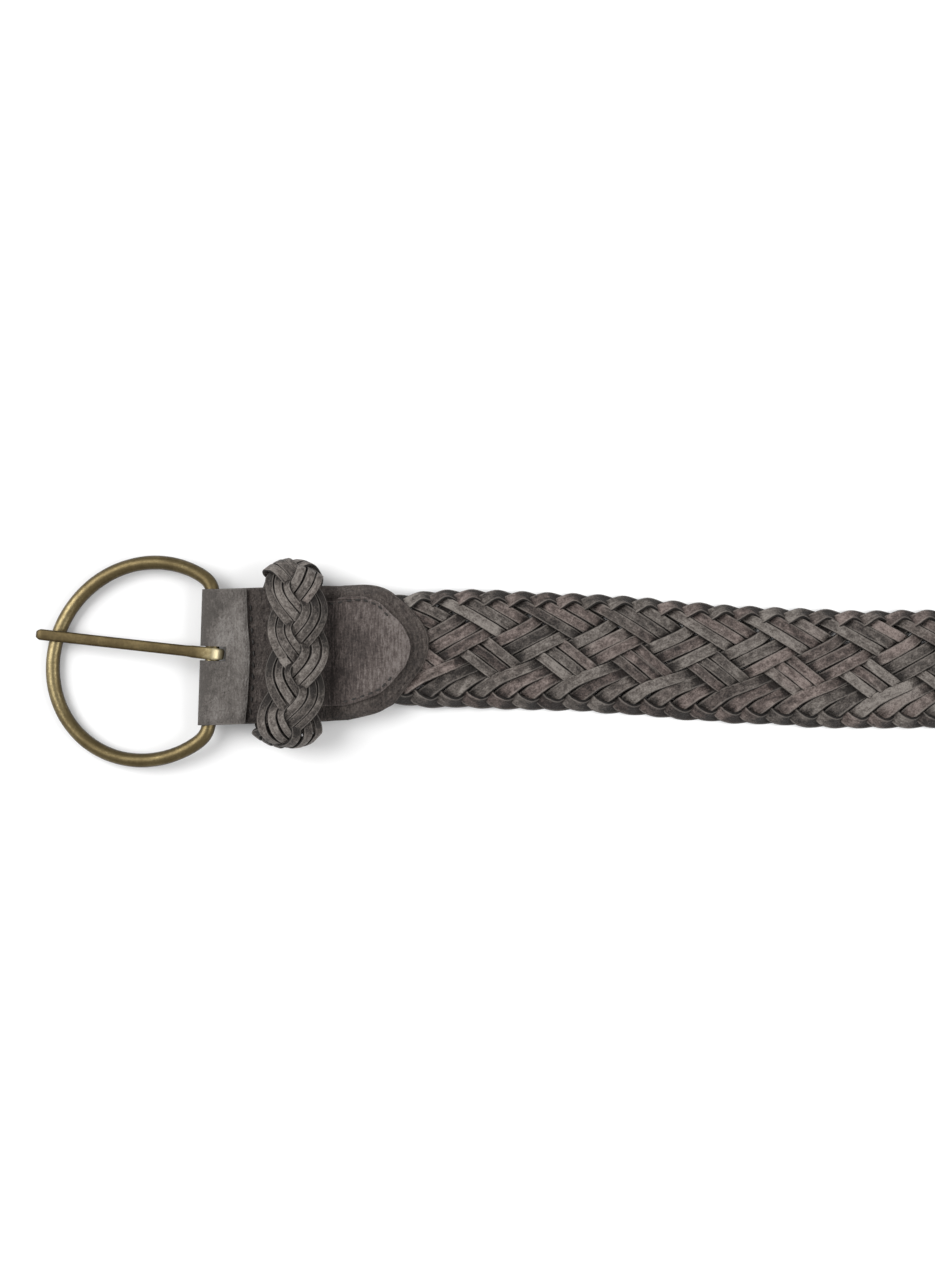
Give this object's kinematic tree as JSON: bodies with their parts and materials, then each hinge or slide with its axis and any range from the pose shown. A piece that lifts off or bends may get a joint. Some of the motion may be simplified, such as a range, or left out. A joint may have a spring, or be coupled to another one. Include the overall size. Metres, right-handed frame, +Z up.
{
  "type": "braided belt",
  "caption": "Flat braided leather belt with a large round wire buckle and prong, a stitched leather tab with a rounded end, a braided keeper loop and a plain leather tip.",
  "frame": {"origin": "on the floor, under the middle of the belt's bounding box as it lies flat", "axes": "+X along the strap from the buckle to the tip, +Y across the strap, +Z up from the floor"},
  "size_m": [1.0434, 0.0762, 0.0193],
  "materials": {
    "buckle_brass": "aged, rubbed bright on the outer edge",
    "chape_leather": "light grey-taupe, soft grain",
    "cover_leather": "dark taupe, waxed, soft edges",
    "patch_leather": "mauve-brown, raised and stitched round",
    "braid_leather": "taupe strips, each a little different in tone"
  },
  "bodies": {
    "strap": {"braided_strap": "braid_leather", "chape_fold": "chape_leather", "end_cover": "cover_leather", "end_patch": "patch_leather", "keeper_loop": "braid_leather", "strap_tip": "cover_leather"},
    "frame": {"buckle_frame": "buckle_brass"},
    "prong": {"buckle_prong": "buckle_brass"}
  },
  "joints": [
    {"name": "frame_hinge", "type": "hinge", "parent": "strap", "child": "frame", "pos_m": [-0.45829, 0.00162, 0.00669], "axis": [0.0332, 0.9995, 0], "range_deg": [-85, 25]},
    {"name": "prong_hinge", "type": "hinge", "parent": "frame", "child": "prong", "pos_m": [-0.45829, 0.00162, 0.00669], "axis": [0.0332, 0.9995, 0], "range_deg": [0, 60]}
  ]
}
